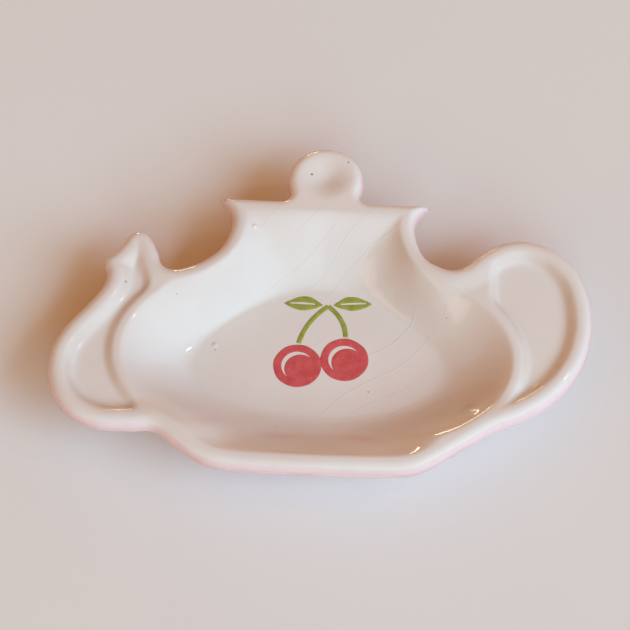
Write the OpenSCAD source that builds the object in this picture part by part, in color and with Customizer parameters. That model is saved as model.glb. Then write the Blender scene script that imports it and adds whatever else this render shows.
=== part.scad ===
// Teapot-shaped tea bag rest: a shallow glazed earthenware dish with a printed pair of cherries.
// Origin: middle of the footprint at table level. X runs from spout to handle, Y from the front
// edge to the knob, Z up. The outline is drawn from the pot's centre line and front edge, then centred.

/* [Outline] */
// Reach of the spout's belly, left of the pot's centre line
spout_reach = 63; // [55:0.5:72]
// Reach of the handle, right of the pot's centre line
handle_reach = 65; // [57:0.5:74]
// Depth of the pot's body from the front edge to the lid edge
body_d = 73.6; // [66:0.2:80]
// Width of the straight front edge
base_w = 46; // [38:0.5:54]
// Distance of the lower ends of spout and handle from the centre line
flank_x = 37; // [34:0.5:40]
// Distance of the lower ends of spout and handle from the front edge
flank_y = 9.5; // [7:0.5:12]
// Distance of the spout's tip from the front edge
spout_tip_y = 63.1; // [58:0.1:67]
// Distance of the handle's highest point from the front edge
handle_top_y = 64.6; // [59:0.1:68]
// Width of the neck under the lid
neck_w = 45; // [40:0.2:47]
// Width over the flared ends of the lid
lid_w = 51; // [49:0.2:56]
// Diameter of the round knob
knob_dia = 19; // [15:0.2:22]
// Distance of the knob's centre behind the lid edge
knob_rise = 6.3; // [5:0.1:8]

/* [Heights] */
// Height of the rim above the table
rim_h = 17; // [15:0.25:20]
// Thickness of the flange that forms rim, spout, handle and lid
flange_t = 5; // [4.8:0.1:6.5]
// Height of the well's floor above the table
floor_z = 4.5; // [4:0.1:6]
// Depth of the recesses in the spout and the handle
recess_d = 1.4; // [0.8:0.1:2]
// Depth of the dimple in the knob
dimple_d = 1.4; // [0.8:0.1:2]
// How far the ridges beside the well lie below the rim
ridge_drop = 0.8; // [0.4:0.1:1.2]

/* [Well] */
// Width of the well between the two ridges
well_w = 94; // [88:0.5:98]
// Length of the oval that the ridges follow, from front to back
well_l = 56; // [52:0.5:60]
// Distance of the well's centre from the front edge
well_y = 31; // [28:0.5:34]
// Width of the flat part of the floor
floor_w = 56; // [48:0.5:60]
// Length of the flat part of the floor from front to back
floor_l = 33; // [30:0.5:35]
// Distance of the flat floor's centre from the front edge
floor_y = 37.5; // [36:0.25:39]

/* [Edges] */
// Width of the lip between the outline and the well
lip_w = 3.2; // [2.8:0.1:4]
// Width of the flat bar between the lid edge and the well
bar_w = 3.4; // [3:0.1:6]
// Width of the lip around the recesses
recess_lip_w = 3.3; // [2.8:0.1:4.2]
// Distance of both recesses from the pot's centre line
recess_x = 40; // [37:0.5:43]
// Distance from the spout's tip to its recess
tip_lip_w = 4.5; // [3:0.1:7]
// Run over which the spout's recess deepens from there
tip_run = 8; // [5:0.5:12]
// Width of the lip around the knob's dimple
knob_lip_w = 2.4; // [1.8:0.1:3]
// Half width of the ridges between well and recesses
ridge_w = 0.5; // [0.2:0.1:1]
// Run over which the ridges come down from the rim
ridge_run = 5; // [4:0.1:6.5]
// Run of a recess wall from the lip to the full depth
recess_run = 3; // [2:0.1:4]
// Thickness of the clay round the well, measured level at its upper edge
wall_t = 3.4; // [3:0.1:4]
// Radius of the rim's upper rounding
rim_round = 2.4; // [1.8:0.1:2.5]
// Radius of the rim's lower rounding
under_round = 2.2; // [1.4:0.1:2.3]

/* [Foot] */
// How far the foot reaches beyond the flat floor on each side
foot_out = 2; // [1:0.1:3]
// Width of the ring that stands on the table
foot_ring_w = 3.6; // [2.5:0.1:5]
// Depth of the recess inside the foot ring
foot_recess = 1; // [0.5:0.1:1.4]
// Run of the slope from the foot ring into its recess
foot_slope = 1.2; // [0.8:0.1:2]

/* [Glaze and print] */
// Thickness of the coloured glaze on the outside
glaze_t = 0.3; // [0.2:0.05:0.5]
// Thickness of the fired print on the floor
print_t = 0.15; // [0.1:0.05:0.3]
// Diameter of each printed cherry
cherry_dia = 11.6; // [9:0.2:12]
// Width of the printed stems
stem_w = 1.2; // [0.8:0.1:1.6]
// Length of a printed leaf
leaf_l = 9.6; // [8:0.2:11]
// Width of a printed leaf
leaf_w = 4; // [3:0.1:5]

/* [Colours] */
// White glaze of the dish
c_white = [0.93, 0.90, 0.88];
// Pink glaze of the outside
c_pink = [0.87, 0.70, 0.70];
// Red of the cherries
c_red = [0.83, 0.33, 0.34];
// Green of stems and leaves
c_green = [0.62, 0.65, 0.25];

/* [Hidden] */

// Smoothness of the round print pieces
$fn = 48;
// Distance over which the edges of two wall shapes melt together
melt = 1.25 * lip_w;
// How sharp the corners between two of the well's walls are: 1 is a mitre, less is rounder
corner_share = 0.1;
// Soft start of the well's wall, as a share of its run, and how quickly it falls after that
bowl_edge_share = 0.14;
bowl_power = 2.6;
// How much gentler the well starts at the lid's bar than at the lips: 1 is the same
bar_share = 0.6;
// Half of the distance along the outline over which its direction is measured
aim_reach = 1.46 * rim_round;
// Share of a spoke's length at which its hub lies, where the spoke doesn't end on a limb's middle line
hub_share = 0.3;
// How far the flat floor narrows towards the back, as a share of its width
egg_share = 0.3;

base_half = base_w / 2;
neck_half = neck_w / 2;
lid_half = lid_w / 2;
knob_r = knob_dia / 2;
knob_y = body_d + knob_rise;
well_a = well_w / 2;
well_b = well_l / 2;
floor_a = floor_w / 2;
floor_b = floor_l / 2;
well_depth = rim_h - floor_z;
under_z = rim_h - flange_t;
spout_w = spout_reach - flank_x;
handle_w = handle_reach - flank_x;
spout_l = spout_tip_y - flank_y;
handle_l = handle_top_y - flank_y;
// Half of the width in which the well runs up to the lid
lid_zone = 1.25 * neck_half;
// Widening of that width over which the ridges come up to their full drop
zone_run = 0.28 * neck_half;

// Straight front edge: share of its half width, then of the flank's height
edge_shares = [[0.26, 0], [0.74, 0.026]];
// Rise from the front edge to the lower end of spout or handle: shares of its run and height
flank_shares = [[0, 0.1], [0.3, 0.29], [0.64, 0.63], [1, 1]];
// Handle from its lower end over the outer bow, then the notch between it and the right shoulder
handle_shares = [
    [0.19, 0.062], [0.43, 0.122], [0.64, 0.196], [0.81, 0.294], [0.94, 0.42], [1, 0.575],
    [0.975, 0.73], [0.88, 0.855], [0.69, 0.957], [0.46, 1], [0.25, 0.988], [0.07, 0.936]
];
right_notch_shares = [[-0.09, 0.86], [-0.2, 0.84], [-0.305, 0.854]];
// Shoulder, neck and flared lid end: share from neck to lid end, then of the body's depth
collar_shares = [
    [0.9, 0.797], [0.26, 0.85], [0, 0.903], [0.14, 0.94], [0.55, 0.968], [1, 0.987], [0.93, 0.999],
    [-0.3, 1]
];
// Lid edge: shares of half the lid's width
lid_shares = [0.66, 0.48];
// Foot of the knob: share of the knob's radius, then of the rise of its centre
knob_foot_shares = [[1.04, 0.03], [0.93, 0.28]];
// Knob: angles from its widest point to its top
knob_angles = [-4, 20, 43, 66];
// Notch between left shoulder and spout: shares of the spout's width and length
left_notch_shares = [[-0.296, 0.852], [-0.146, 0.818], [-0.031, 0.811]];
// Spout's tip from the notch to the lower corner of its mouth
tip_shares = [
    [0.046, 0.836], [0.085, 0.889], [0.137, 0.945], [0.213, 0.988], [0.305, 1], [0.39, 0.976],
    [0.45, 0.923], [0.52, 0.875], [0.585, 0.845]
];
// Throat and belly of the spout down to its lower end
belly_shares = [
    [0.588, 0.808], [0.562, 0.766], [0.582, 0.705], [0.705, 0.608], [0.865, 0.505], [0.975, 0.395],
    [1, 0.27], [0.927, 0.151], [0.765, 0.057], [0.51, 0.002], [0.2, -0.002]
];

// Angles on the foot's oval at which the first and the last spoke of each run arrive
edge_aims = [282, 304];
flank_aims = [312.5, 331.5];
handle_aims = [335.5, 370];
right_notch_aims = [381, 406];
collar_aims = [413, 430];
lid_aims = [430, 435];
knob_foot_aims = [438, 442];
knob_aims = [445.5, 449];
left_notch_aims = [495, 523];
tip_aims = [526, 535];
belly_aims = [534, 563];
back_aim = 450;

function unit(v) = v / norm(v);
function flip(list) = [for (k = [len(list) - 1:-1:0]) list[k]];
// A control point: place, then the direction on the foot's oval that its spoke aims at
function spot(x, y, aim) = [x, y, cos(aim), sin(aim)];
function aim_of(aims, k, n) = aims[0] + (aims[1] - aims[0]) * k / (n - 1);
function mirrored(list) = [for (p = flip(list)) [-p[0], p[1], -p[2], p[3]]];

edge_run = [for (k = [0:len(edge_shares) - 1])
    spot(edge_shares[k][0] * base_half, edge_shares[k][1] * flank_y, aim_of(edge_aims, k, len(edge_shares)))];
flank_run = [for (k = [0:len(flank_shares) - 1])
    spot(base_half + flank_shares[k][0] * (flank_x - base_half), flank_shares[k][1] * flank_y,
        aim_of(flank_aims, k, len(flank_shares)))];
handle_run = [for (k = [0:len(handle_shares) - 1])
    spot(flank_x + handle_shares[k][0] * handle_w, flank_y + handle_shares[k][1] * handle_l,
        aim_of(handle_aims, k, len(handle_shares)))];
right_notch_run = [for (k = [0:len(right_notch_shares) - 1])
    spot(flank_x + right_notch_shares[k][0] * handle_w, flank_y + right_notch_shares[k][1] * handle_l,
        aim_of(right_notch_aims, k, len(right_notch_shares)))];
collar_run = [for (k = [0:len(collar_shares) - 1])
    spot(neck_half + collar_shares[k][0] * (lid_half - neck_half), collar_shares[k][1] * body_d,
        aim_of(collar_aims, k, len(collar_shares)))];
lid_run = [for (k = [0:len(lid_shares) - 1])
    spot(lid_shares[k] * lid_half, body_d, aim_of(lid_aims, k, len(lid_shares)))];
knob_foot_run = [for (k = [0:len(knob_foot_shares) - 1])
    spot(knob_foot_shares[k][0] * knob_r, body_d + knob_foot_shares[k][1] * knob_rise,
        aim_of(knob_foot_aims, k, len(knob_foot_shares)))];
knob_run = [for (k = [0:len(knob_angles) - 1])
    spot(knob_r * cos(knob_angles[k]), knob_y + knob_r * sin(knob_angles[k]),
        aim_of(knob_aims, k, len(knob_angles)))];
function spout_run(shares, aims) = [for (k = [0:len(shares) - 1])
    spot(-flank_x - shares[k][0] * spout_w, flank_y + shares[k][1] * spout_l, aim_of(aims, k, len(shares)))];

front_half = concat(edge_run, flank_run);
handle_side = concat(handle_run, right_notch_run);
lid_half_run = concat(collar_run, lid_run, knob_foot_run);
knob_top_run = concat(knob_run, [spot(0, knob_y + knob_r, back_aim)], mirrored(knob_run));
notch_and_tip = concat(spout_run(left_notch_shares, left_notch_aims), spout_run(tip_shares, tip_aims));
belly_run = spout_run(belly_shares, belly_aims);
control = concat(front_half, handle_side, lid_half_run, knob_top_run, mirrored(lid_half_run), notch_and_tip,
    belly_run, mirrored(front_half));
// The wide bows get two outline points for each control point, the tight corners one
steps = concat([for (p = front_half) 2], [for (p = handle_side) 2], [for (k = [2:len(lid_half_run)]) 1], [2],
    [for (p = knob_top_run) 2], [for (p = lid_half_run) 1], [for (p = notch_and_tip) 1],
    [for (p = belly_run) 2], [for (p = front_half) 2]);
function first_sample(k) = k == 0 ? 0 : steps[k - 1] + first_sample(k - 1);

// A smooth curve through the control points
function curve(a, b, c, d, t) =
    (2 * b + (c - a) * t + (2 * a - 5 * b + 4 * c - d) * t * t + (3 * b - a - 3 * c + d) * t * t * t) / 2;
function at(list, k) = list[(k + len(list)) % len(list)];
fine = [for (k = [0:len(control) - 1], j = [0:steps[k] - 1])
    curve(at(control, k - 1), at(control, k), at(control, k + 1), at(control, k + 2), j / steps[k])];
count = len(fine);
last = count - 1;
edge = [for (p = fine) [p[0], p[1]]];

// Limbs too narrow for spokes of their own, as the first and last outline point of each: the two flared
// ends of the lid, the knob and the spout's tip. Their points meet on a middle line.
neck_at = search(0, collar_shares)[0];
horn_at = neck_at + 1;
right_collar = len(front_half) + len(handle_side);
right_lid = right_collar + len(collar_run);
knob_at = right_collar + len(lid_half_run);
left_knob = knob_at + len(knob_top_run) - 1;
left_lid = left_knob + len(knob_foot_run) + len(lid_run);
tip_at = left_lid + 1 + len(collar_run) + len(left_notch_shares);
limbs = [
    [first_sample(right_collar + horn_at), first_sample(right_lid - 1)],
    [first_sample(knob_at), first_sample(left_knob)],
    [first_sample(left_lid + 1), first_sample(left_lid + len(collar_run) - horn_at)],
    [first_sample(tip_at), first_sample(tip_at + len(tip_shares) - 1)]
];
limb_of = [for (i = [0:last]) [for (limb = limbs) if (i >= limb[0] && i <= limb[1]) limb][0]];
function other_side(i) = limb_of[i] == undef ? i : limb_of[i][0] + limb_of[i][1] - i;
function spoke_aim(i) = let (a = limb_of[i] == undef ? fine[i] : fine[limb_of[i][0]] + fine[limb_of[i][1]])
    unit([a[2], a[3]]);
aims = [for (i = [0:last]) spoke_aim(i)];

// Distance along the outline, and the point found at a given distance
function sums(list, k = 0, sum = 0) =
    k >= len(list) ? [sum] : concat([sum], sums(list, k + 1, sum + norm(at(list, k + 1) - list[k])));
along = sums(edge);
round_length = along[count];
x_table = [for (k = [-1:1], i = [0:last]) [along[i] + k * round_length, edge[i][0]]];
y_table = [for (k = [-1:1], i = [0:last]) [along[i] + k * round_length, edge[i][1]]];
function walk(s) = [lookup(s, x_table), lookup(s, y_table)];
function left_of(v) = [-v[1], v[0]];
inward = [for (i = [0:last]) unit(left_of(walk(along[i] + aim_reach) - walk(along[i] - aim_reach)))];
clay = [for (i = [0:last]) edge[i] + inward[i] * glaze_t];
function from_edge(p) = min([for (q = clay) norm(p - q)]);

// Inset of the rounded rim at each outline point, less where a tip is too narrow for the full rounding
function calm(list, n) = n == 0 ? list :
    calm([for (i = [0:last]) min(list[i], (at(list, i - 1) + list[i] + at(list, i + 1)) / 3)], n - 1);
inset = calm([for (i = [0:last])
    pow(min(1, from_edge(clay[i] + inward[i] * rim_round) / rim_round), 2)], 3);

// Centre of the outline's box
x_mid = (max([for (p = edge) p[0]]) + min([for (p = edge) p[0]])) / 2;
y_mid = (max([for (p = edge) p[1]]) + min([for (p = edge) p[1]])) / 2;

// Egg-shaped ovals of floor and foot, narrower towards the back
function egg(a, b, dir) = [a * dir[0] * (1 - egg_share * dir[1]), floor_y + b * dir[1]];
function egg_size(p, a, b) =
    let (v = (p[1] - floor_y) / b) norm([p[0] / (a * (1 - egg_share * min(v, 1))), v]);
function beyond_egg(p, a, b) = norm(p - [0, floor_y]) * max(0, 1 - 1 / egg_size(p, a, b));
foot_a = floor_a + foot_out;
foot_b = floor_b + foot_out;
foot_oval = [for (d = aims) egg(foot_a, foot_b, d)];

// Distances that shape the surface: from the clay's outline and from the well's oval
function in_well(p) =
    let (d = p - [0, well_y], size = norm([d[0] / well_a, d[1] / well_b])) norm(d) * (1 / size - 1);
function least(a, b) = let (h = max(melt - abs(a - b), 0) / melt) min(a, b) - h * h * melt / 4;
function most(a, b) = -least(-a, -b);
// The smaller of two lengths, with a rounding that grows with them
function meet(a, b) = (a + b - sqrt(a * a + b * b - 2 * corner_share * a * b)) / (1 + corner_share);
function ease(t) = let (s = min(max(t, 0), 1)) s * s * (3 - 2 * s);
// Fall of the well's wall over its run: a soft start, then steep, then running out level
function bowl(t) = 1 - pow(1 - t * t * (1 + bowl_edge_share) / (t + bowl_edge_share), bowl_power);
function wall_share(inset, rest) = inset <= 0 ? 0 : inset / (inset + rest);

// How far a point lies inside the upper edge of the well, past lip, ridges and lid bar
function well_inset(p, s) = meet(meet(s - lip_w, most(in_well(p) - ridge_w, lid_zone - abs(p[0]))),
    bar_share * (body_d - bar_w - p[1]));
// How deep a point lies in the recess of spout or handle, and in the knob's dimple: 0 to 1
function recess_share(p, s) = ease((s - recess_lip_w) / recess_run)
    * ease((-in_well(p) - ridge_w) / recess_run) * ease((abs(p[0]) - recess_x) / recess_run)
    * (p[0] < 0 ? ease((spout_tip_y - tip_lip_w - p[1]) / tip_run) : 1);
function dimple_share(p) = ease(1 - norm(p - [0, knob_y]) / (knob_r - knob_lip_w));
function rounding(s, r) = s >= r ? 0 : r - sqrt(r * r - (r - s) * (r - s));

// Height of the upper surface and of the underside over a point of the plan
function top_z(p) = let (s = from_edge(p)) rim_h - rounding(s, rim_round)
    - ridge_drop * ease((s - rim_round) / ridge_run) * ease((abs(p[0]) - lid_zone) / zone_run)
        * (1 - ease(well_inset(p, s) / melt))
    - well_depth * bowl(wall_share(well_inset(p, s), beyond_egg(p, floor_a, floor_b)))
    - recess_d * recess_share(p, s) - dimple_d * dimple_share(p);
function under_surface_z(p) = let (s = from_edge(p)) under_z + rounding(s, under_round)
    - under_z * bowl(wall_share(well_inset(p, s) + wall_t, beyond_egg(p, foot_a, foot_b)));

// Spokes run from the rounded rim to a hub and on to the foot's oval; those of a limb share its hubs, and
// the point at its very tip shares the hub of the point before it
function rim_point(i, r) = clay[i] + inward[i] * inset[i] * r;
function middle(i, r) = (rim_point(i, r) + rim_point(other_side(i), r)) / 2;
function hub_mate(i) = other_side(i) == i ? i - 1 : min(i, other_side(i));
function hub(i, r) = limb_of[i] == undef ? rim_point(i, r) * (1 - hub_share) + foot_oval[i] * hub_share
    : middle(hub_mate(i), r);
function outer_spoke(i, r, t) = rim_point(i, r) * (1 - t) + hub(i, r) * t;
function inner_spoke(i, r, t) = (limb_of[i] == undef ? hub(i, r) : hub(limb_of[i][0], r)) * (1 - t)
    + foot_oval[i] * t;
function with_z(p, z) = [p[0], p[1], z];

// Shares of the outer and the inner part of a spoke at which upper surface and underside have a ring
top_outer = [0.22, 0.46, 0.72, 1];
top_inner = [0.1, 0.2, 0.3, 0.41, 0.52, 0.64, 0.76, 0.88, 1];
under_outer = [0.25, 0.6, 1];
under_inner = [0.2, 0.45, 0.7, 1];
// Angles of the rings that round the rim above and below
rim_angles = [0, 30, 60, 90];
under_angles = [45, 90];

function rim_ring(r, angle) = [for (i = [0:last]) rim_point(i, r * (1 - cos(angle)))];
function outer_ring(r, t) = [for (i = [0:last]) outer_spoke(i, r, t)];
function inner_ring(r, t) = [for (i = [0:last]) inner_spoke(i, r, t)];
function on_top(ring) = [for (p = ring) with_z(p, top_z(p))];
function on_under(ring) = [for (p = ring) with_z(p, under_surface_z(p))];
function level(ring, z) = [for (p = ring) with_z(p, z)];
function egg_ring(a, b) = [for (d = aims) egg(a, b, d)];

// Each list of rings is followed by the place of its hub ring
top_rings = concat([for (angle = rim_angles) on_top(rim_ring(rim_round, angle))],
    [for (t = top_outer) on_top(outer_ring(rim_round, t))],
    [for (t = top_inner) on_top(inner_ring(rim_round, t))],
    [level(egg_ring(floor_a, floor_b), floor_z)]);
top_hub = len(rim_angles) + len(top_outer) - 1;
outside = concat([top_rings[0], level(clay, under_z + under_round)],
    [for (angle = under_angles) on_under(rim_ring(under_round, angle))],
    [for (t = under_outer) on_under(outer_ring(under_round, t))],
    [for (t = under_inner) on_under(inner_ring(under_round, t))]);
outside_hub = 1 + len(under_angles) + len(under_outer);

// Point that stands for point i of ring j: the points of a limb meet in pairs at the hubs, in one beyond
function own(i, j, hub_at) = limb_of[i] == undef || j < hub_at ? i
    : j == hub_at ? hub_mate(i) : limb_of[i][0];
inner_limb = [for (i = [0:last]) limb_of[i] != undef && i < limb_of[i][1]];
cap = [for (i = [0:last]) if (limb_of[i] == undef || limb_of[i][0] == i) i];
// Faces between ring j and ring k, whose points start at places from_j and from_k of the list
function strip(j, k, from_j, from_k, out, hub_at) = [for (i = [0:last]) if (j < hub_at || !inner_limb[i])
    let (n = (i + 1) % count,
        a = from_j + own(i, j, hub_at), b = from_k + own(i, k, hub_at),
        c = from_k + own(n, k, hub_at), d = from_j + own(n, j, hub_at))
    each [for (tri = out ? [[a, d, c], [a, c, b]] : [[a, c, d], [a, b, c]])
        if (tri[0] != tri[1] && tri[1] != tri[2] && tri[2] != tri[0]) tri]];

module centred() {
    translate([-x_mid, -y_mid, 0])
        children();
}

module dish() {
    foot_rings = [for (p = [[foot_ring_w, 0], [foot_ring_w + foot_slope, foot_recess]])
        level(egg_ring(foot_a - p[0], foot_b - p[0]), p[1])];
    below = concat([for (j = [1:len(outside) - 1]) outside[j]], foot_rings);
    top_end = len(top_rings) - 1;
    start = len(top_rings) * count;
    color(c_white)
        centred()
            polyhedron(
                points = [for (ring = concat(top_rings, below)) each ring],
                faces = concat(
                    [for (j = [0:top_end - 1])
                        each strip(j, j + 1, j * count, (j + 1) * count, false, top_hub)],
                    [flip([for (i = cap) top_end * count + i])],
                    strip(0, 1, 0, start, true, outside_hub),
                    [for (j = [1:len(below) - 1])
                        each strip(j, j + 1, start + (j - 1) * count, start + j * count, true, outside_hub)],
                    [[for (i = cap) start + (len(below) - 1) * count + i]]));
}

// Direction in which the glaze lies on the clay: outward round the rim, then square to the underside
function slope_at(p, step) = (under_surface_z(p + step) - under_surface_z(p - step)) / (2 * norm(step));
function skin_direction(j, i) = let (turn = concat([0], under_angles)) j <= len(turn)
    ? [each -inward[i] * cos(turn[j - 1]), -sin(turn[j - 1])]
    : let (p = outside[j][i], q = [p[0], p[1]])
        unit([slope_at(q, [glaze_t, 0]), slope_at(q, [0, glaze_t]), -1]);

module coat() {
    ends = len(outside) - 1;
    skin = [for (j = [1:ends - 1]) [for (i = [0:last]) outside[j][i] + glaze_t * skin_direction(j, i)]];
    lining = [for (j = [1:ends - 1]) outside[j]];
    // Place of a lining ring in the list of points; its first and last ring are those of the skin
    places = [for (j = [0:ends]) (j == 0 || j == ends ? j : ends + j) * count];
    color(c_pink)
        centred()
            polyhedron(
                points = [for (ring = concat([outside[0]], skin, [outside[ends]], lining)) each ring],
                faces = [for (j = [0:ends - 1]) each concat(
                    strip(j, j + 1, j * count, (j + 1) * count, true, outside_hub),
                    strip(j, j + 1, places[j], places[j + 1], false, outside_hub))]);
}

// The print lies flat on the floor, placed from the middle of the floor by shares of the floor's size
function on_floor(share) = [share[0] * floor_w, floor_y + share[1] * floor_l];
left_cherry_share = [-0.085, -0.12];
right_cherry_share = [0.115, -0.055];
joint_share = [0.035, 0.39];
left_bow_share = [-0.06, 0.26];
right_bow_share = [0.115, 0.28];
cherry_r = cherry_dia / 2;
// The bare crescent on a cherry: shares of the cherry's radius
gleam_share = 0.66;
gleam_shift_share = 0.13;
// Gap between stems and the pieces that they reach, as a share of the stem's width
stem_gap_share = 0.3;
// Angles at which the two leaves leave the joint, and how far they droop as a share of their length
left_leaf_angle = 172;
right_leaf_angle = 12;
droop_share = 0.12;
// Bare vein in a leaf: its width as a share of the leaf's width, its ends as shares of the leaf's length
vein_share = 0.14;
vein_end_shares = [0.2, 0.85];
// Number of steps along a stem or a leaf
sample_count = 12;

module printed() {
    translate([0, 0, floor_z])
        linear_extrude(height = print_t)
            children();
}

module cherry(share) {
    color(c_red)
        centred()
            translate(with_z(on_floor(share), floor_z))
                difference() {
                    cylinder(h = print_t, r = cherry_r);
                    difference() {
                        translate([0, 0, -print_t])
                            cylinder(h = 3 * print_t, r = gleam_share * cherry_r);
                        translate([gleam_shift_share * cherry_r, -gleam_shift_share * cherry_r, -2 * print_t])
                            cylinder(h = 5 * print_t, r = gleam_share * cherry_r);
                    }
                }
}

module cherry_left() {
    cherry(left_cherry_share);
}

module cherry_right() {
    cherry(right_cherry_share);
}

// A stem: a ribbon of even width along a bowed line from a cherry's top to the joint
function bow(a, b, c, t) = (1 - t) * (1 - t) * a + 2 * (1 - t) * t * b + t * t * c;
function bow_side(a, b, c, t) = left_of(unit((1 - t) * (b - a) + t * (c - b)));
function ribbon_edge(a, b, c, t, side) = bow(a, b, c, t) + side * bow_side(a, b, c, t) * stem_w / 2;
module ribbon(a, b, c) {
    polygon(concat(
        [for (k = [0:sample_count]) ribbon_edge(a, b, c, k / sample_count, 1)],
        [for (k = [sample_count:-1:0]) ribbon_edge(a, b, c, k / sample_count, -1)]));
}
function stem_start(share) = on_floor(share) + [0, cherry_r + stem_gap_share * stem_w];

module stems() {
    color(c_green)
        centred()
            printed() {
                ribbon(stem_start(left_cherry_share), on_floor(left_bow_share), on_floor(joint_share));
                ribbon(stem_start(right_cherry_share), on_floor(right_bow_share), on_floor(joint_share));
            }
}

// A leaf: pointed at both ends, bent along its length, with a bare vein in the middle
function leaf_line(t, side, w) =
    [t * leaf_l, (side * w / 2) * sin(180 * t) - droop_share * leaf_l * t * t];
module leaf_shape(w, ends) {
    polygon(concat(
        [for (k = [0:sample_count]) leaf_line(ends[0] + (ends[1] - ends[0]) * k / sample_count, -1, w)],
        [for (k = [sample_count - 1:-1:1]) leaf_line(ends[0] + (ends[1] - ends[0]) * k / sample_count, 1, w)]));
}
module leaf(angle, side) {
    color(c_green)
        centred()
            printed()
                translate(on_floor(joint_share))
                    rotate(angle)
                        translate([stem_w, 0])
                            scale([1, side])
                                difference() {
                                    leaf_shape(leaf_w, [0, 1]);
                                    leaf_shape(vein_share * leaf_w, vein_end_shares);
                                }
}

module leaf_left() {
    leaf(left_leaf_angle, -1);
}

module leaf_right() {
    leaf(right_leaf_angle, 1);
}

dish();
coat();
cherry_left();
cherry_right();
stems();
leaf_left();
leaf_right();
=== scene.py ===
import bpy
import numpy as np
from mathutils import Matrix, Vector
from mathutils.geometry import delaunay_2d_cdt


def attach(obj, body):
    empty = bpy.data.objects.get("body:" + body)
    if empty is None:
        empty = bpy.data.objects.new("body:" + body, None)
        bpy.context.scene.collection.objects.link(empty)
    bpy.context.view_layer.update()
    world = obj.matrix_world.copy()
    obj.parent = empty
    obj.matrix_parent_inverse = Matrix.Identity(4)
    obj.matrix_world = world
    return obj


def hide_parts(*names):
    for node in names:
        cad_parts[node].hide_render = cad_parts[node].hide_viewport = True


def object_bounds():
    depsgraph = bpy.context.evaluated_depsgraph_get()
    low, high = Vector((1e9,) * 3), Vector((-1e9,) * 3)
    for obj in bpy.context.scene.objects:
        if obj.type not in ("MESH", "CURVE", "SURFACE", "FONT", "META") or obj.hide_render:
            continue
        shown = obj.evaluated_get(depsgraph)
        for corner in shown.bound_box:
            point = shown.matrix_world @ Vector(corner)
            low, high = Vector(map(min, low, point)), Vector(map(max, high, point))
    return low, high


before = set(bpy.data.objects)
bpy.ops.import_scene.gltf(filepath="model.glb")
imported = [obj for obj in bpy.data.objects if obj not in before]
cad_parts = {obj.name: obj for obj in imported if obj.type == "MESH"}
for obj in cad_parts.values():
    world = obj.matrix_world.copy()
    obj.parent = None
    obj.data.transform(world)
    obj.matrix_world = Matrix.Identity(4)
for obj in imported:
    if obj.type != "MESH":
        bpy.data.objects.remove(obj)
cad_lo, cad_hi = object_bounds()
MM = 0.001

# Sizes of the dish in mm, in the drawing's frame: x from the pot's centre line, y from its front edge
spout_reach, handle_reach, body_d, base_w = 63.0, 65.0, 73.6, 46.0
flank_x, flank_y, spout_tip_y, handle_top_y = 37.0, 9.5, 63.1, 64.6
neck_w, lid_w, knob_dia, knob_rise = 45.0, 51.0, 19.0, 6.3
rim_h, floor_z, under_z = 17.0, 4.5, 12.0
recess_d, dimple_d, ridge_drop = 1.4, 1.4, 0.8
well_w, well_l, well_y = 94.0, 56.0, 31.0
floor_w, floor_l, floor_y = 56.0, 33.0, 37.5
lip_w, bar_w, recess_lip_w, knob_lip_w, ridge_w = 3.2, 3.4, 3.3, 2.4, 0.5
wall_t, recess_run, ridge_run, rim_round, under_round = 3.4, 3.0, 5.0, 2.4, 2.2
recess_x, tip_lip_w, tip_run = 40.0, 4.5, 8.0
foot_out, foot_ring_w, foot_recess, foot_slope = 2.0, 3.6, 1.0, 1.2
glaze_t, print_t = 0.3, 0.15
cherry_r, stem_w, leaf_l, leaf_w = 5.8, 1.2, 9.6, 4.0
melt, egg_share = 4.0, 0.3
bowl_edge, bowl_power, corner_share, bar_share = 0.14, 2.6, 0.1, 0.6
base_half, neck_half, lid_half, knob_r = base_w / 2, neck_w / 2, lid_w / 2, knob_dia / 2
knob_y = body_d + knob_rise
spout_w, handle_w = spout_reach - flank_x, handle_reach - flank_x
spout_l, handle_l = spout_tip_y - flank_y, handle_top_y - flank_y
lid_zone, zone_run = 1.25 * neck_half, 0.28 * neck_half
foot_a, foot_b = floor_w / 2 + foot_out, floor_l / 2 + foot_out
foot_ring = foot_ring_w + foot_slope

# Finer lengths in mm: the bare clay's width beyond the ring, where the outer glaze thins out, its lining,
# the print's thinnest edge and the width of its rounding, and the wave of its outlines
bare_margin, rim_fade, foot_fade, lining_t = 1.2, 1.2, 1.0, 0.04
print_edge_t, print_round, cherry_wave, green_wave = 0.02, 0.25, 0.12, 0.08

# Spacing of loops and nets in mm, the nets' clearance to the loops, and the chords that give loops their
# normals; angles of the rings on the roundings in degrees
edge_step, print_edge_step, vein_step = 0.45, 0.2, 0.15
top_step, under_step, print_step = 0.5, 0.8, 0.25
top_gap, under_gap, print_gap = 0.3, 0.4, 0.12
clay_reach, rim_reach, print_reach = 0.9, 3.5, 0.3
TOP_ANGLES, UNDER_ANGLES = [0, 8, 16, 24, 32, 40, 50, 60], [0, 15, 30, 45, 60]

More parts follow.
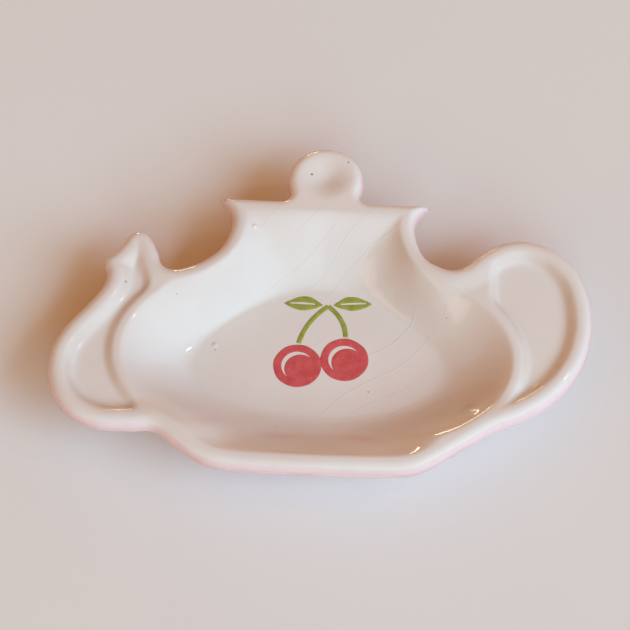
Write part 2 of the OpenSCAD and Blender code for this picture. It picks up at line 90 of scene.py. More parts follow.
# Runs of the outline's control points, as shares of the sizes that they follow
EDGE = [[0.26, 0], [0.74, 0.026]]
FLANK = [[0, 0.1], [0.3, 0.29], [0.64, 0.63], [1, 1]]
HANDLE = [[0.19, 0.062], [0.43, 0.122], [0.64, 0.196], [0.81, 0.294], [0.94, 0.42], [1, 0.575],
          [0.975, 0.73], [0.88, 0.855], [0.69, 0.957], [0.46, 1], [0.25, 0.988], [0.07, 0.936],
          [-0.09, 0.86], [-0.2, 0.84], [-0.305, 0.854]]
COLLAR = [[0.9, 0.797], [0.26, 0.85], [0, 0.903], [0.14, 0.94], [0.55, 0.968], [1, 0.987],
          [0.93, 0.999], [-0.3, 1]]
LID = [[0.66, 1], [0.48, 1]]
KNOB_FOOT = [[1.04, 0.03], [0.93, 0.28]]
KNOB_ANGLES = np.radians([-4, 20, 43, 66, 90])
SPOUT = [[-0.296, 0.852], [-0.146, 0.818], [-0.031, 0.811], [0.046, 0.836], [0.085, 0.889],
         [0.137, 0.945], [0.213, 0.988], [0.305, 1], [0.39, 0.976], [0.45, 0.923], [0.52, 0.875],
         [0.585, 0.845], [0.588, 0.808], [0.562, 0.766], [0.582, 0.705], [0.705, 0.608],
         [0.865, 0.505], [0.975, 0.395], [1, 0.27], [0.927, 0.151], [0.765, 0.057], [0.51, 0.002],
         [0.2, -0.002]]


def run(shares, x0, dx, y0, dy):
    """Control points: (x0 + dx * first share, y0 + dy * second share)."""
    return np.array(shares, float) * [dx, dy] + [x0, y0]


def mirror(points):
    """The same points on the left side, in reverse order."""
    return points[::-1] * [-1, 1]


front = np.concatenate([run(EDGE, 0, base_half, 0, flank_y),
                        run(FLANK, base_half, flank_x - base_half, 0, flank_y)])
lid = np.concatenate([run(COLLAR, neck_half, lid_half - neck_half, 0, body_d),
                      run(LID, 0, lid_half, 0, body_d), run(KNOB_FOOT, 0, knob_r, body_d, knob_rise),
                      np.c_[knob_r * np.cos(KNOB_ANGLES), knob_y + knob_r * np.sin(KNOB_ANGLES)]])
CONTROL = np.concatenate([front, run(HANDLE, flank_x, handle_w, flank_y, handle_l), lid,
                          mirror(lid[:-1]), run(SPOUT, -flank_x, -spout_w, flank_y, spout_l),
                          mirror(front)])


def smooth_loop(control, spacing):
    """Catmull-Rom curve through the control points, cut anew into equal lengths of about spacing."""
    t = np.linspace(0, 1, 24, endpoint=False)[None, :, None]
    a, b, c, d = [np.roll(control, shift, axis=0)[:, None, :] for shift in (1, 0, -1, -2)]
    fine = (2 * b + (c - a) * t + (2 * a - 5 * b + 4 * c - d) * t ** 2 + (3 * b - a - 3 * c + d) * t ** 3) / 2
    return even_loop(fine.reshape(-1, 2), spacing)


def even_loop(points, spacing):
    """The closed line through the points, cut into equal lengths of about spacing."""
    closed = np.concatenate([points, points[:1]])
    along = np.concatenate([[0], np.cumsum(np.linalg.norm(np.diff(closed, axis=0), axis=1))])
    s = np.linspace(0, along[-1], int(round(along[-1] / spacing)), endpoint=False)
    return np.stack([np.interp(s, along, closed[:, k]) for k in (0, 1)], axis=1)


def distance(points, loops):
    """Distance to the nearest side of the closed loops, above nought inside them and below it outside."""
    a = np.concatenate(loops)
    b = np.concatenate([np.roll(loop, -1, axis=0) for loop in loops])
    side = b - a
    length2 = (side ** 2).sum(axis=1)
    result = []
    for part in np.array_split(points, max(1, len(points) * len(a) // 2000000)):
        p = part[:, None, :] - a[None]
        t = np.clip((p * side).sum(axis=2) / length2, 0, 1)
        gap = np.sqrt(((p - side * t[..., None]) ** 2).sum(axis=2)).min(axis=1)
        above_a, above_b = part[:, 1, None] >= a[:, 1], part[:, 1, None] >= b[:, 1]
        right = side[:, 0] * p[..., 1] - side[:, 1] * p[..., 0] > 0
        odd = ((above_a != above_b) & (right == above_a)).sum(axis=1) % 2 == 1
        result.append(np.where(odd, gap, -gap))
    return np.concatenate(result)


edge = smooth_loop(CONTROL, edge_step)
centre = (edge.max(axis=0) + edge.min(axis=0)) / 2


def inward_of(loop, reach):
    """Unit normals of a loop that turns left, each square to the chord from reach behind to reach ahead."""
    n = max(1, int(round(reach / np.linalg.norm(loop[1] - loop[0]))))
    chord = np.roll(loop, -n, axis=0) - np.roll(loop, n, axis=0)
    return np.stack([-chord[:, 1], chord[:, 0]], axis=1) / np.linalg.norm(chord, axis=1)[:, None]


clay = edge + glaze_t * inward_of(edge, clay_reach)


# The height functions of the dish
def ease(t):
    """Soft step from 0 to 1: 3 t^2 - 2 t^3."""
    s = np.clip(t, 0, 1)
    return s * s * (3 - 2 * s)


def least(a, b):
    """The smaller of two lengths, melted together where they are alike."""
    h = np.maximum(melt - np.abs(a - b), 0) / melt
    return np.minimum(a, b) - h * h * melt / 4


def most(a, b):
    """The larger of two lengths, melted together where they are alike."""
    return -least(-a, -b)


def meet(a, b):
    """The smaller of two lengths, with a rounding that grows with them."""
    return (a + b - np.sqrt(a * a + b * b - 2 * corner_share * a * b)) / (1 + corner_share)


def bowl(t):
    """Fall of the well's wall over its run: 1 - (1 - u)^power with a soft start u = t^2 (1 + e) / (t + e)."""
    t = np.clip(t, 0, 1)
    return 1 - (1 - t * t * (1 + bowl_edge) / (t + bowl_edge)) ** bowl_power


def rounding(s, r):
    """Fall of a quarter-round of radius r at distance s from its edge: r - sqrt(r^2 - (r - s)^2)."""
    return r - np.sqrt(r * r - (r - np.clip(s, 0, r)) ** 2)


def wall_share(inset, rest):
    """Way down the wall, 0 to 1: the way in from its edge over the whole way to the floor."""
    return np.where(inset <= 0, 0, inset / np.maximum(inset + rest, 1e-9))


def in_well(x, y):
    """Distance inside the well's oval along the line to its middle, below nought outside."""
    dx, dy = x, y - well_y
    size = np.maximum(np.hypot(dx / (well_w / 2), dy / (well_l / 2)), 1e-6)
    return np.hypot(dx, dy) * (1 / size - 1)


def beyond_egg(x, y, a, b):
    """Distance beyond an egg-shaped oval of half axes a and b, along the line to the floor's middle."""
    v = (y - floor_y) / b
    size = np.maximum(np.hypot(x / (a * (1 - egg_share * np.minimum(v, 1))), v), 1e-6)
    return np.hypot(x, y - floor_y) * np.maximum(0, 1 - 1 / size)


def egg_loop(a, b, spacing):
    """The egg-shaped oval: x = a cos t (1 - egg_share sin t), y = b sin t beyond the floor's middle."""
    t = np.linspace(0, 2 * np.pi, 400, endpoint=False)
    return even_loop(np.stack([a * np.cos(t) * (1 - egg_share * np.sin(t)), floor_y + b * np.sin(t)], axis=1),
                     spacing)


def well_inset(x, y, s):
    """How far a point lies inside the well's edge, which follows the lip, the ridges and the lid's bar."""
    beside = meet(s - lip_w, most(in_well(x, y) - ridge_w, lid_zone - np.abs(x)))
    return meet(beside, bar_share * (body_d - bar_w - y))


def recess_share(x, y, s):
    """How deep a point lies in the recess of spout or handle, 0 to 1: a product of soft steps."""
    share = ease((s - recess_lip_w) / recess_run) * ease((-in_well(x, y) - ridge_w) / recess_run)
    share = share * ease((np.abs(x) - recess_x) / recess_run)
    return share * np.where(x < 0, ease((spout_tip_y - tip_lip_w - y) / tip_run), 1)


def dimple_share(x, y):
    """How deep a point lies in the knob's dimple, 0 to 1 at its centre."""
    return ease(1 - np.hypot(x, y - knob_y) / (knob_r - knob_lip_w))


def top_z(x, y, s):
    """Height of the upper surface: rim - rounding - ridges - well - recesses - dimple."""
    well = well_inset(x, y, s)
    return (rim_h - rounding(s, rim_round)
            - ridge_drop * ease((s - rim_round) / ridge_run) * ease((np.abs(x) - lid_zone) / zone_run)
            * (1 - ease(well / melt))
            - (rim_h - floor_z) * bowl(wall_share(well, beyond_egg(x, y, floor_w / 2, floor_l / 2)))
            - recess_d * recess_share(x, y, s) - dimple_d * dimple_share(x, y))


def under_surface_z(x, y, s):
    """Height of the underside: wall of the well's back down to the foot, a flat ring and a shallow recess."""
    wall = bowl(wall_share(well_inset(x, y, s) + wall_t, beyond_egg(x, y, foot_a, foot_b)))
    inside = ease(1 - beyond_egg(x, y, foot_a - foot_ring, foot_b - foot_ring) / foot_slope)
    return under_z * (1 - wall) + rounding(s, under_round) + foot_recess * inside


def fill(loops, spacing, gap):
    """Points and triangles of the region inside the loops: the loops' own points first, then a net of
    points spacing apart that stand gap clear of the loops. Every triangle turns left."""
    border = np.concatenate(loops)
    lo, hi = border.min(axis=0), border.max(axis=0)
    row = spacing * np.sqrt(3) / 2
    u, v = np.meshgrid(np.arange(lo[0], hi[0], spacing), np.arange(lo[1], hi[1], row))
    u = u + (np.arange(len(u)) % 2)[:, None] * spacing / 2
    net = np.stack([u.ravel(), v.ravel()], axis=1)
    net = net[distance(net, loops) > gap]
    sides, start = [], 0
    for loop in loops:
        k = np.arange(len(loop))
        sides += np.stack([start + k, start + (k + 1) % len(loop)], axis=1).tolist()
        start += len(loop)
    points, _, faces, _, _, _ = delaunay_2d_cdt(
        [Vector(p) for p in np.concatenate([border, net]).tolist()], sides, [], 1, 1e-7)
    points, faces = np.array([tuple(p) for p in points]), np.array(faces)
    middle = points[faces].mean(axis=1)
    doubtful = (faces < len(border)).all(axis=1)
    keep = ~doubtful
    keep[doubtful] = distance(middle[doubtful], loops) > 0
    faces = faces[keep]
    a, b, c = [points[faces[:, k]] for k in range(3)]
    turn = (b[:, 0] - a[:, 0]) * (c[:, 1] - a[:, 1]) - (b[:, 1] - a[:, 1]) * (c[:, 0] - a[:, 0])
    faces[turn < 0] = faces[turn < 0][:, ::-1]
    return points, faces


def strip(first, second, n):
    """Quads between two rings of n points that start at places first and second."""
    k = np.arange(n)
    nxt = (k + 1) % n
    return np.stack([first + k, first + nxt, second + nxt, second + k], axis=1)


def piece(name, points, faces, nodes, values=None):
    """A mesh from points in mm of the drawing's frame; faces is a list of arrays of triangles or quads."""
    mesh = bpy.data.meshes.new(name)
    placed = np.clip((points - [centre[0], centre[1], 0]) * MM, cad_lo, cad_hi)
    loops = np.concatenate([f.ravel() for f in faces]).astype(np.int32)
    sizes = np.concatenate([np.full(len(f), f.shape[1]) for f in faces]).astype(np.int32)
    mesh.vertices.add(len(placed))
    mesh.vertices.foreach_set("co", placed.ravel().astype(np.float32))
    mesh.loops.add(len(loops))
    mesh.loops.foreach_set("vertex_index", loops)
    mesh.polygons.add(len(sizes))
    mesh.polygons.foreach_set("loop_start", np.concatenate([[0], np.cumsum(sizes)[:-1]]).astype(np.int32))
    mesh.polygons.foreach_set("loop_total", sizes)
    mesh.polygons.foreach_set("use_smooth", np.ones(len(sizes), bool))
    for key, value in (values or {}).items():
        mesh.attributes.new(key, "FLOAT", "POINT").data.foreach_set("value", value.astype(np.float32))
    mesh.update()
    mesh.validate()
    obj = bpy.data.objects.new(name, mesh)
    bpy.context.scene.collection.objects.link(obj)
    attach(obj, "root")
    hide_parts(*nodes)
    return obj


# The rounding is pulled in less where a tip is too narrow for it, and the change is spread along the edge
least_inset, spreading_rounds = 0.1, 40
inward = inward_of(clay, rim_reach)
n_edge = len(clay)
inset = np.minimum(1, distance(clay + inward * rim_round, [clay]) / rim_round)
inset = np.clip(inset, least_inset, 1) ** 2
for _ in range(spreading_rounds):
    inset = np.minimum(inset, (np.roll(inset, 1) + inset + np.roll(inset, -1)) / 3)


def rim_rings(r, angles):
    """Rings of plan points at r * (1 - cos(angle)) inside the clay's outline, times the inset."""
    return [clay + inward * (inset * r * (1 - np.cos(np.radians(a))))[:, None] for a in angles]


def surface(rings, patch, height, loops):
    """Points with heights, and their distance to the clay's outline: rings of the rim, then the region."""
    plan = np.concatenate(rings + [patch])
    s = np.maximum(distance(plan, loops), 0)
    s[:n_edge] = 0
    return np.column_stack([plan, height(plan[:, 0], plan[:, 1], s)]), s


def dish():
    """The casting: the upper surface z = top_z(x, y) and the underside z = under_surface_z(x, y), joined by
    quarter-rounds along the outline. Its values: rim is the distance to the outline in mm, bare is above
    nought on the foot ring's clay, and hollow_shade is up to 1 halfway down the walls of the recesses and in
    the dimple, where painted brown shade goes on the glaze."""
    top_rings = rim_rings(rim_round, TOP_ANGLES)
    patch, faces = fill([top_rings[-1]], top_step, top_gap)
    top, s_top = surface(top_rings[:-1], patch, top_z, [clay])
    k = len(top_rings) - 1
    quads = [strip(j * n_edge, (j + 1) * n_edge, n_edge) for j in range(k)]
    low_rings = rim_rings(under_round, UNDER_ANGLES)
    low_patch, low_faces = fill([low_rings[-1]], under_step, under_gap)
    low, _ = surface(low_rings[:-1], low_patch, under_surface_z, [clay])
    start = len(top)
    m = len(low_rings) - 1
    quads += [strip(start + (j + 1) * n_edge, start + j * n_edge, n_edge) for j in range(m)]
    quads.append(strip(start, 0, n_edge))
    tris = [faces + k * n_edge, low_faces[:, ::-1] + start + m * n_edge]
    plan = np.concatenate([top, low])
    ring = foot_ring_w + foot_slope / 2
    bare = np.minimum(bare_margin - beyond_egg(plan[:, 0], plan[:, 1], foot_a, foot_b),
                      beyond_egg(plan[:, 0], plan[:, 1], foot_a - ring, foot_b - ring))
    bare[:start] = -1
    x, y = top[:, 0], top[:, 1]
    share = recess_share(x, y, s_top)
    # Painted shade: this value marks the shaded flanks of the recesses and the dimple for a brown tint
    hollow_shade = np.maximum(4 * share * (1 - share), 0.8 * dimple_share(x, y))
    return piece("dish_body", plan, quads + tris, ["dish"],
                 {"rim": np.concatenate([s_top, np.full(len(low), -0.5)]), "bare": bare,
                  "hollow_shade": np.concatenate([hollow_shade, np.zeros(len(low))])})


def vertex_normals(points, faces):
    """Area-weighted normals of the points of a mesh of triangles and quads."""
    total = np.zeros_like(points)
    for f in faces:
        a, b, c, d = points[f[:, 0]], points[f[:, 1]], points[f[:, 2]], points[f[:, -1]]
        cross = np.cross(c - a, d - b) if f.shape[1] == 4 else np.cross(b - a, c - a)
        for k in range(f.shape[1]):
            for axis in range(3):
                total[:, axis] += np.bincount(f[:, k], cross[:, axis], len(points))
    return total / np.maximum(np.linalg.norm(total, axis=1), 1e-12)[:, None]


def coat():
    """The coloured glaze: the clay's underside pushed out by glaze_t * ease along its normals, thinned to
    nothing at the rim's widest line and at the foot, and closed by a lining on the clay."""
    heights = np.linspace(rim_h - rim_round, under_z + under_round, 5)
    low_rings = rim_rings(under_round, UNDER_ANGLES[1:])
    foot = egg_loop(foot_a, foot_b, under_step)[::-1]
    patch, faces = fill([low_rings[-1], foot], under_step, under_gap)
    low, _ = surface([clay] + low_rings[:-1], patch, under_surface_z, [clay])
    band = [np.column_stack([clay, np.full(n_edge, z)]) for z in heights[:-1]]
    base = np.concatenate(band + [low])
    k = len(band) + len(low_rings)
    quads = np.concatenate([strip((j + 1) * n_edge, j * n_edge, n_edge) for j in range(k)])
    tris = faces[:, ::-1] + k * n_edge
    normals = vertex_normals(base, [quads, tris])
    push = ease((rim_h - rim_round - base[:, 2]) / rim_fade)
    push = push * ease(beyond_egg(base[:, 0], base[:, 1], foot_a, foot_b) / foot_fade)
    skin = base + glaze_t * push[:, None] * normals
    lining = base - lining_t * push[:, None] * normals
    n = len(base)
    back = np.arange(n) + n
    back[:n_edge] = np.arange(n_edge)
    foot_at = k * n_edge + n_edge + np.arange(len(foot))
    back[foot_at] = foot_at
    used = np.zeros(2 * n, bool)
    used[:n] = True
    used[back] = True
    place = np.cumsum(used) - 1
    all_faces = [quads, tris, back[quads[:, ::-1]], back[tris[:, ::-1]]]
    return piece("glaze_coat", np.concatenate([skin, lining])[used], [place[f] for f in all_faces],
                 ["coat"])


# The print on the floor of the well, placed by shares of the floor's size from its middle
JOINT = (0.035, 0.39)
CHERRY_LEFT, CHERRY_RIGHT = (-0.085, -0.12), (0.115, -0.055)
BOW_LEFT, BOW_RIGHT = (-0.06, 0.26), (0.115, 0.28)
gleam_share, gleam_shift, stem_lift = 0.66, 0.13, 0.3
droop, vein_share, vein_start, vein_stop = 0.12, 0.14, 0.2, 0.85


def on_floor(share):
    """The place on the drawing of a pair of shares of the floor's width and length."""
    return np.array([share[0] * floor_w, floor_y + share[1] * floor_l])


def wavy(points, seed, size):
    """A loop moved along its normals by the mean of four sines of its own length, at most size."""
    inwards = inward_of(points, print_reach)
    t = np.arange(len(points)) / len(points) * 2 * np.pi
    rng = np.random.default_rng(seed)
    total = sum(rng.uniform(0.4, 1) * np.sin(k * t + rng.uniform(0, 6.3)) for k in rng.integers(2, 9, 4))
    return points + inwards * (size * total / 4)[:, None]


def flat_print(name, shapes, nodes):
    """Colour printed on the floor: its height above it grows from print_edge_t to print_t with
    sqrt(1 - (1 - d)^2) inside the loops of each shape, d being the distance to them as a share of
    print_round, with a flat back."""
    points, faces, start = [], [], 0
    for loops in shapes:
        plan, tris = fill(loops, print_step, print_gap)
        d = np.clip(distance(plan, loops), 0, print_round) / print_round
        d[:sum(len(loop) for loop in loops)] = 0
        n = len(plan)
        height = print_edge_t + (print_t - print_edge_t) * np.sqrt(1 - (1 - d) ** 2)
        points += [np.column_stack([plan, floor_z + height]), np.column_stack([plan, np.full(n, floor_z)])]
        faces += [tris + start, tris[:, ::-1] + start + n]
        at = start
        for loop in loops:
            faces.append(strip(at + n, at, len(loop)))
            at += len(loop)
        start += 2 * n
    return piece(name, np.concatenate(points), faces, nodes)


def arc(middle, r, start, stop):
    """Points of a circle about middle from angle start up to angle stop."""
    t = np.linspace(start, stop, int(abs(stop - start) * r / print_edge_step), endpoint=False)
    return np.stack([middle[0] + r * np.cos(t), middle[1] + r * np.sin(t)], axis=1)


def cherry(name, share, node, seed):
    """A disc with a bare crescent: inside one circle and outside a second one of the same size, moved."""
    middle, r = on_floor(share), gleam_share * cherry_r
    shift = gleam_shift * cherry_r
    disc = wavy(arc(middle, cherry_r, 0, 2 * np.pi), seed, cherry_wave)
    half = np.arccos(shift * np.sqrt(2) / 2 / r)
    lean = -np.pi / 4
    other = middle + [shift, -shift]
    outer = arc(middle, r, lean + half, lean + 2 * np.pi - half)
    inner = arc(other, r, lean + np.pi + (np.pi - half), lean + np.pi - (np.pi - half))
    return flat_print(name, [[disc, np.concatenate([outer, inner])[::-1]]], [node])


def stems():
    """Two ribbons of even width along bowed lines (1 - t)^2 a + 2 t (1 - t) b + t^2 c from the cherries to
    the joint."""
    shapes = []
    for start, bow, seed in ((CHERRY_LEFT, BOW_LEFT, 5), (CHERRY_RIGHT, BOW_RIGHT, 8)):
        a = on_floor(start) + [0, cherry_r + stem_lift * stem_w]
        b, c = on_floor(bow), on_floor(JOINT)
        t = np.linspace(0, 1, 60)[:, None]
        line = (1 - t) ** 2 * a + 2 * (1 - t) * t * b + t ** 2 * c
        way = (1 - t) * (b - a) + t * (c - b)
        side = np.stack([-way[:, 1], way[:, 0]], axis=1) / np.linalg.norm(way, axis=1)[:, None] * stem_w / 2
        ribbon = even_loop(np.concatenate([line - side, (line + side)[::-1]]), print_edge_step)
        shapes.append([wavy(ribbon, seed, green_wave)])
    return flat_print("print_stems", shapes, ["stems"])


def leaf(name, angle, side, node, seed):
    """A leaf w/2 * sin(180 t) wide on each side of a drooping line, with a bare vein in the middle."""
    def outline(w, start, stop):
        t = np.linspace(start, stop, 50)
        low = np.stack([t * leaf_l, -w / 2 * np.sin(np.pi * t) - droop * leaf_l * t * t], axis=1)
        high = np.stack([t * leaf_l, w / 2 * np.sin(np.pi * t) - droop * leaf_l * t * t], axis=1)
        return np.concatenate([low, high[-2:0:-1]])

    c, s = np.cos(np.radians(angle)), np.sin(np.radians(angle))

    def placed(points):
        p = (points * [1, side])[::side] + [stem_w, 0]
        return on_floor(JOINT) + p @ np.array([[c, s], [-s, c]])

    blade = wavy(even_loop(placed(outline(leaf_w, 0, 1)), print_edge_step), seed, green_wave)
    vein = even_loop(placed(outline(vein_share * leaf_w, vein_start, vein_stop)), vein_step)[::-1]
    return flat_print(name, [[blade, vein]], [node])


body = dish()
skin = coat()
cherries = [cherry("print_cherry_left", CHERRY_LEFT, "cherry_left", 1),
            cherry("print_cherry_right", CHERRY_RIGHT, "cherry_right", 2)]
greens = [stems(), leaf("print_leaf_left", 172, -1, "leaf_left", 3),
          leaf("print_leaf_right", 12, 1, "leaf_right", 4)]


# Materials
class Wire:
    """A socket of a material that takes part in sums."""

    def __init__(self, tree, socket):
        self.tree, self.socket = tree, socket

    def do(self, operation, *others):
        """One step of arithmetic with this socket first."""
        return self.tree.node("ShaderNodeMath", {"operation": operation}, [self, *others])

    def __add__(self, other):
        return self.do("ADD", other)

    def __radd__(self, other):
        return self.do("ADD", other)

    def __sub__(self, other):
        return self.do("SUBTRACT", other)

    def __rsub__(self, other):
        return self.tree.node("ShaderNodeMath", {"operation": "SUBTRACT"}, [other, self])

    def __mul__(self, other):
        return self.do("MULTIPLY", other)

    def __rmul__(self, other):
        return self.do("MULTIPLY", other)

    def between(self, low, high):
        """0 at low, 1 at high, smooth between them; low may be the larger."""
        return self.tree.node("ShaderNodeMapRange", {"interpolation_type": "SMOOTHSTEP"},
                              [self, low, high, 0.0, 1.0])


class Tree:
    """A material's node tree; node() adds a node and gives its first output."""

    def __init__(self, name):
        self.material = bpy.data.materials.new(name)
        self.material.use_nodes = True
        self.tree = self.material.node_tree
        self.bsdf = self.tree.nodes["Principled BSDF"]
        self.place = self.node("ShaderNodeTexCoord", out="Object")

    def set(self, socket, value):
        """Links the socket to a wire, or gives it a value."""
        if isinstance(value, Wire):
            self.tree.links.new(value.socket, socket)
        else:
            socket.default_value = value

    def node(self, kind, settings=None, inputs=(), out=0):
        n = self.tree.nodes.new(kind)
        for key, value in (settings or {}).items():
            setattr(n, key, value)
        for key, value in (inputs.items() if isinstance(inputs, dict) else enumerate(inputs)):
            self.set(n.inputs[key], value)
        return Wire(self, n.outputs[out])

    def noise(self, scale, detail, vector=None):
        """Noise from 0 to 1 with about scale waves per metre."""
        return self.node("ShaderNodeTexNoise", None,
                         {"Vector": vector or self.place, "Scale": scale, "Detail": detail}, out="Fac")

    def mix(self, factor, a, b):
        """Colour a where the factor is 0, colour b where it is 1."""
        n = self.tree.nodes.new("ShaderNodeMix")
        n.data_type = "RGBA"
        for socket, value in zip((n.inputs[0], n.inputs[6], n.inputs[7]), (factor, a, b)):
            self.set(socket, value)
        return Wire(self, n.outputs[2])

    def attribute(self, name):
        return self.node("ShaderNodeAttribute", {"attribute_name": name}, out="Fac")

    def bump(self, height, distance):
        """Normals of a surface raised by height times distance in metres."""
        return self.node("ShaderNodeBump", None, {"Height": height, "Distance": distance})

    def finish(self, **inputs):
        """Sets the surface's sockets, named with _ for a blank, and gives the material."""
        for key, value in inputs.items():
            self.set(self.bsdf.inputs[key.replace("_", " ")], value)
        return self.material


def colour(r, g, b):
    """Linear colour of sRGB values from 0 to 255."""
    c = np.array([r, g, b]) / 255
    linear = np.where(c <= 0.04045, c / 12.92, ((c + 0.055) / 1.055) ** 2.4)
    return (*linear.tolist(), 1.0)


def at_spot(t, x, y, r, soft):
    """1 within r mm of a place in the drawing's frame, 0 beyond soft mm more."""
    point = Vector(((x - centre[0]) * MM, (y - centre[1]) * MM, 0))
    flat = t.node("ShaderNodeVectorMath", {"operation": "MULTIPLY"}, [t.place, (1, 1, 0)])
    gap = t.node("ShaderNodeVectorMath", {"operation": "DISTANCE"}, [flat, point], out="Value")
    return gap.between((r + soft) * MM, r * MM)


def crazing(t):
    """Fine cracks in the well's glaze: even lines aslant, bent by a wide noise and faded in and out by
    another. A line runs where lines_per_m * distance across, plus the noise, is a whole number and a half."""
    lean, lines_per_m, bend = 0.8, 150, 4
    slant = t.node("ShaderNodeMapping", {"vector_type": "TEXTURE"},
                   {"Vector": t.place, "Rotation": (0, 0, lean), "Scale": (2.0, 1, 1)})
    across = t.node("ShaderNodeSeparateXYZ", None, [slant], out=1)
    level = (across * lines_per_m + t.noise(36, 2, slant) * bend).do("FRACT") - 0.5
    line = level.do("ABSOLUTE").between(0.035, 0.004)
    return line * t.noise(60, 1).between(0.45, 0.58) * at_spot(t, 0, 42, 20, 22)


# Thickness of the relief in the glaze and the print in metres, for a height of 1
glaze_relief, print_relief = 0.00006, 0.00002

# Blister, run and bead in the glaze: place and radius in mm, height as a multiple of the relief
DROPS = [(-24.9, 38.3, 0.9, 4), (36.2, 18.8, 2.8, 8), (-16.6, 65.3, 0.9, 4)]

# Specks in the glaze, one of them a painted shadow beside the blister: place and radius in mm, colour; their
# edges fade over speck_soft mm
speck_soft = 0.15
SPOTS = [(-3.5, 80.9, 0.2, colour(96, 76, 62)), (5.4, 84.4, 0.2, colour(160, 158, 138)),
         (-46.5, 48.3, 0.25, colour(176, 172, 150)), (-34.2, 46.3, 0.1, colour(196, 178, 168)),
         # The brown dot at (-24.7, 36.9) is a painted shadow beside the blister
         (12.5, 27.2, 0.12, colour(170, 146, 130)), (-24.7, 36.9, 0.12, colour(176, 160, 146)),
         (30.5, 45.0, 0.08, colour(190, 170, 160)), (-9.0, 16.0, 0.08, colour(180, 158, 146))]


def glazed_white():
    """White glaze: broken white, thin and pink at the rim, with painted brown shade in the recesses and the
    dimple, fine cracks, specks, a painted shadow beside the blister, a blister and bare clay at the foot."""
    t = Tree("white_glaze")
    rim = t.attribute("rim")
    cracks = crazing(t)
    base = t.mix(t.noise(28, 3).between(0.35, 0.7), colour(232, 223, 218), colour(238, 232, 229))
    # Painted shade: brown laid halfway down the recesses' walls and in the dimple, where they are shaded
    painted_hollow_shade = t.attribute("hollow_shade") * t.noise(130, 4).between(0.25, 0.75) * 0.4
    base = t.mix(painted_hollow_shade, base, colour(212, 186, 166))
    base = t.mix(cracks * 0.08, base, colour(190, 165, 155))
    pink = t.mix(t.noise(300, 3), colour(236, 206, 208), colour(242, 220, 221))
    thin = (rim + t.noise(160, 2) * 0.5).between(1.1, 0.6)
    base = t.mix(thin, base, pink)
    for x, y, r, tone in SPOTS:
        base = t.mix(at_spot(t, x, y, r, speck_soft) * 0.85, base, tone)
    clay_tone = t.mix(t.noise(900, 3), colour(196, 178, 160), colour(224, 210, 196))
    bare = t.attribute("bare").between(0.0, 0.4)
    base = t.mix(bare, base, clay_tone)
    wave = t.noise(260, 1) * 0.6 + t.noise(75, 1) * 1.4 + cracks * 0.6
    for x, y, r, height in DROPS:
        wave = wave + at_spot(t, x, y, 0.1, r) * height
    return t.finish(Base_Color=base, Roughness=0.09 + bare * 0.6, Specular_IOR_Level=0.55,
                    Normal=t.bump(wave, glaze_relief))


def glazed_pink():
    """Pink glaze in two shades with small darker flecks."""
    t = Tree("pink_glaze")
    base = t.mix(t.noise(60, 3).between(0.3, 0.7), colour(230, 194, 196), colour(238, 210, 212))
    base = t.mix(t.noise(700, 2).between(0.66, 0.74) * 0.3, base, colour(206, 150, 150))
    return t.finish(Base_Color=base, Roughness=0.12, Specular_IOR_Level=0.55,
                    Normal=t.bump(t.noise(240, 1), glaze_relief))


def printed(name, dark, light):
    """Colour under the glaze, uneven like a hand-pressed print."""
    t = Tree(name)
    base = t.mix(t.noise(420, 4).between(0.3, 0.7), colour(*dark), colour(*light))
    base = t.mix(t.noise(1500, 2).between(0.62, 0.8) * 0.35, base, colour(236, 206, 196))
    return t.finish(Base_Color=base, Roughness=0.12, Specular_IOR_Level=0.5,
                    Normal=t.bump(t.noise(700, 2), print_relief))


white, pink = glazed_white(), glazed_pink()
red = printed("red_print", (205, 70, 74), (218, 88, 90))
green = printed("green_print", (142, 150, 44), (166, 170, 66))
for objects, material in (([body], white), ([skin], pink), (cherries, red), (greens, green)):
    for obj in objects:
        obj.data.materials.append(material)


# Floor, lights and camera
def floor_plane(size, z):
    """A level square that reaches size metres to each side at height z, in a broken pale grey."""
    mesh = bpy.data.meshes.new("floor")
    mesh.from_pydata([(-size, -size, z), (size, -size, z), (size, size, z), (-size, size, z)], [],
                     [(0, 1, 2, 3)])
    obj = bpy.data.objects.new("floor", mesh)
    bpy.context.scene.collection.objects.link(obj)
    t = Tree("floor")
    grey = t.mix(t.noise(6, 2), colour(234, 234, 234), colour(239, 239, 239))
    mesh.materials.append(t.finish(Base_Color=grey, Roughness=0.7))


floor_plane(3.0, -0.00002)


def area_light(name, place, size, power, tone, mirrored=True):
    """A rectangle of light at a place in metres that faces the dish; power in watts."""
    data = bpy.data.lights.new(name, "AREA")
    data.shape = "RECTANGLE"
    data.size, data.size_y = size
    data.energy = power
    data.color = tone
    obj = bpy.data.objects.new(name, data)
    obj.location = place
    obj.rotation_euler = (-Vector(place)).to_track_quat("-Z", "Y").to_euler()
    obj.visible_glossy = mirrored
    bpy.context.scene.collection.objects.link(obj)


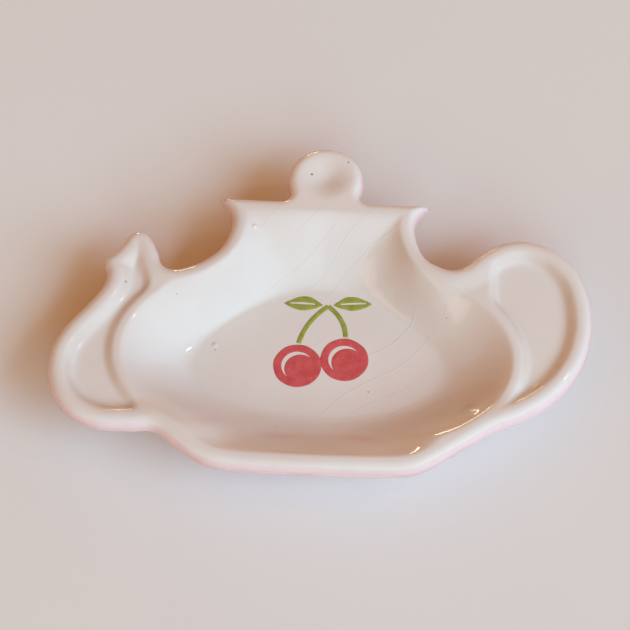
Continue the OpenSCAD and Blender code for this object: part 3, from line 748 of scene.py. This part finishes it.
# Cool daylight from the front right in a warm room
area_light("key_right", (2.836, -1.640, 2.296), (2.4, 2.4), 125, (0.45, 0.755, 1.0), mirrored=False)
area_light("key_front", (0.848, -3.164, 2.296), (2.4, 2.4), 57, (0.50, 0.92, 1.0), mirrored=False)
area_light("window", (0.665, 0.070, 0.743), (0.05, 0.05), 0.3, (1.0, 0.98, 0.94))
area_light("wall_left", (-0.62, -0.65, 0.44), (0.35, 0.30), 0.45, (1.0, 0.74, 0.56))
area_light("lamp_back", (-0.24, 0.965, 0.105), (0.18, 0.08), 0.7, (1.0, 0.86, 0.52))

# A warm room as light, and a pale one to be seen and mirrored
world = bpy.data.worlds.new("world")
bpy.context.scene.world = world
world.use_nodes = True
nodes, links = world.node_tree.nodes, world.node_tree.links
seen, path = nodes.new("ShaderNodeBackground"), nodes.new("ShaderNodeLightPath")
blend = nodes.new("ShaderNodeMixShader")
nodes["Background"].inputs["Color"].default_value = (1.0, 0.38, 0.07, 1)
nodes["Background"].inputs["Strength"].default_value = 0.44
seen.inputs["Color"].default_value = (0.70, 0.67, 0.64, 1)
shown = path.outputs["Is Camera Ray"]
for kind in ("Is Glossy Ray", "Is Transmission Ray"):
    either = nodes.new("ShaderNodeMath")
    either.operation = "MAXIMUM"
    links.new(shown, either.inputs[0])
    links.new(path.outputs[kind], either.inputs[1])
    shown = either.outputs[0]
links.new(shown, blend.inputs[0])
links.new(nodes["Background"].outputs[0], blend.inputs[1])
links.new(seen.outputs[0], blend.inputs[2])
links.new(blend.outputs[0], nodes["World Output"].inputs["Surface"])

# Camera at the photo's angle: 60 degrees up, a little right of the front, with a long lens
camera = bpy.data.objects.new("camera", bpy.data.cameras.new("camera"))
bpy.context.scene.collection.objects.link(camera)
bpy.context.scene.camera = camera
camera.data.lens = 120
azimuth, elevation, away = np.radians(2.7), np.radians(60.0), 0.4995
back = Vector((np.sin(azimuth) * np.cos(elevation), -np.cos(azimuth) * np.cos(elevation), np.sin(elevation)))
camera.location = Vector((-0.00189, -0.00268, 0.0145)) + back * away
camera.rotation_euler = (-back).to_track_quat("-Z", "Y").to_euler()
bpy.context.scene.view_settings.view_transform = "Standard"
